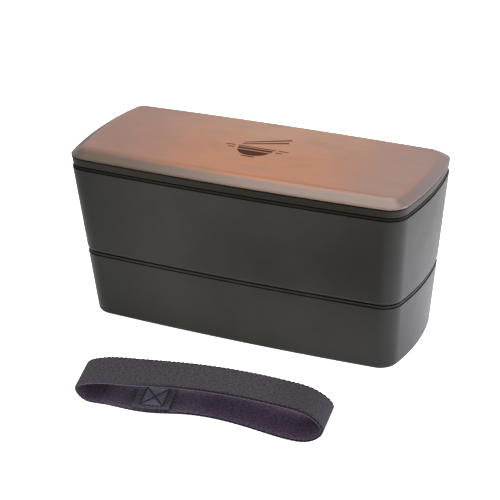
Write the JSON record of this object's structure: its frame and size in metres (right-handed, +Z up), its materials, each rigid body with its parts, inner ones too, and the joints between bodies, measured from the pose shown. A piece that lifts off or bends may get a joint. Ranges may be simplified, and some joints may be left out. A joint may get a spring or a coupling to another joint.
{
  "type": "bento lunch box",
  "caption": "Slim stacked bento lunch box with a bevelled outer lid, sealed inner lids, a sliding divider and a loose elastic carrying band.",
  "frame": {"origin": "centre of the lower container's foot, on the table", "axes": "+X along the box, +Y to its back, +Z up; the loose band lies in front, towards -Y"},
  "size_m": [0.2056, 0.1706, 0.104],
  "materials": {
    "container_abs": "satin charcoal moulded ABS",
    "inner_lid_pe": "soft satin black moulded polyethylene",
    "silicone_seal": "matt black silicone rubber",
    "divider_pp": "satin black polypropylene",
    "outer_lid_finish": "brown sunburst lacquer on a charcoal moulding, satin",
    "elastic_webbing": "woven charcoal elastic with scalloped edges",
    "sewing_thread": "dark polyester thread"
  },
  "bodies": {
    "lower_container": {"lower_container": "container_abs"},
    "lower_inner_lid": {"lower_inner_lid": "inner_lid_pe", "lower_gasket": "silicone_seal"},
    "lower_air_valve": {"lower_air_valve": "silicone_seal"},
    "upper_container": {"upper_container": "container_abs"},
    "divider": {"divider": "divider_pp"},
    "upper_inner_lid": {"upper_inner_lid": "inner_lid_pe", "upper_gasket": "silicone_seal"},
    "upper_air_valve": {"upper_air_valve": "silicone_seal"},
    "outer_lid": {"outer_lid": "outer_lid_finish"},
    "elastic_band": {"elastic_band": "elastic_webbing", "band_stitching": "sewing_thread"}
  },
  "joints": [
    {"name": "lower_inner_lid_lift", "type": "slide", "parent": "lower_container", "child": "lower_inner_lid", "axis": [0, 0, 1], "range_m": [0, 0.06]},
    {"name": "lower_valve_pull", "type": "slide", "parent": "lower_inner_lid", "child": "lower_air_valve", "axis": [0, 0, 1], "range_m": [0, 0.0022]},
    {"name": "upper_container_lift", "type": "slide", "parent": "lower_inner_lid", "child": "upper_container", "axis": [0, 0, 1], "range_m": [0, 0.07]},
    {"name": "divider_slide", "type": "slide", "parent": "upper_container", "child": "divider", "axis": [1, 0, 0], "range_m": [-0.07, 0.035]},
    {"name": "upper_inner_lid_lift", "type": "slide", "parent": "upper_container", "child": "upper_inner_lid", "axis": [0, 0, 1], "range_m": [0, 0.06]},
    {"name": "upper_valve_pull", "type": "slide", "parent": "upper_inner_lid", "child": "upper_air_valve", "axis": [0, 0, 1], "range_m": [0, 0.0022]},
    {"name": "outer_lid_lift", "type": "slide", "parent": "upper_inner_lid", "child": "outer_lid", "axis": [0, 0, 1], "range_m": [0, 0.05]},
    {"name": "elastic_band_lift", "type": "slide", "parent": "lower_container", "child": "elastic_band", "axis": [0, 0, 1], "range_m": [0, 0.12]}
  ]
}
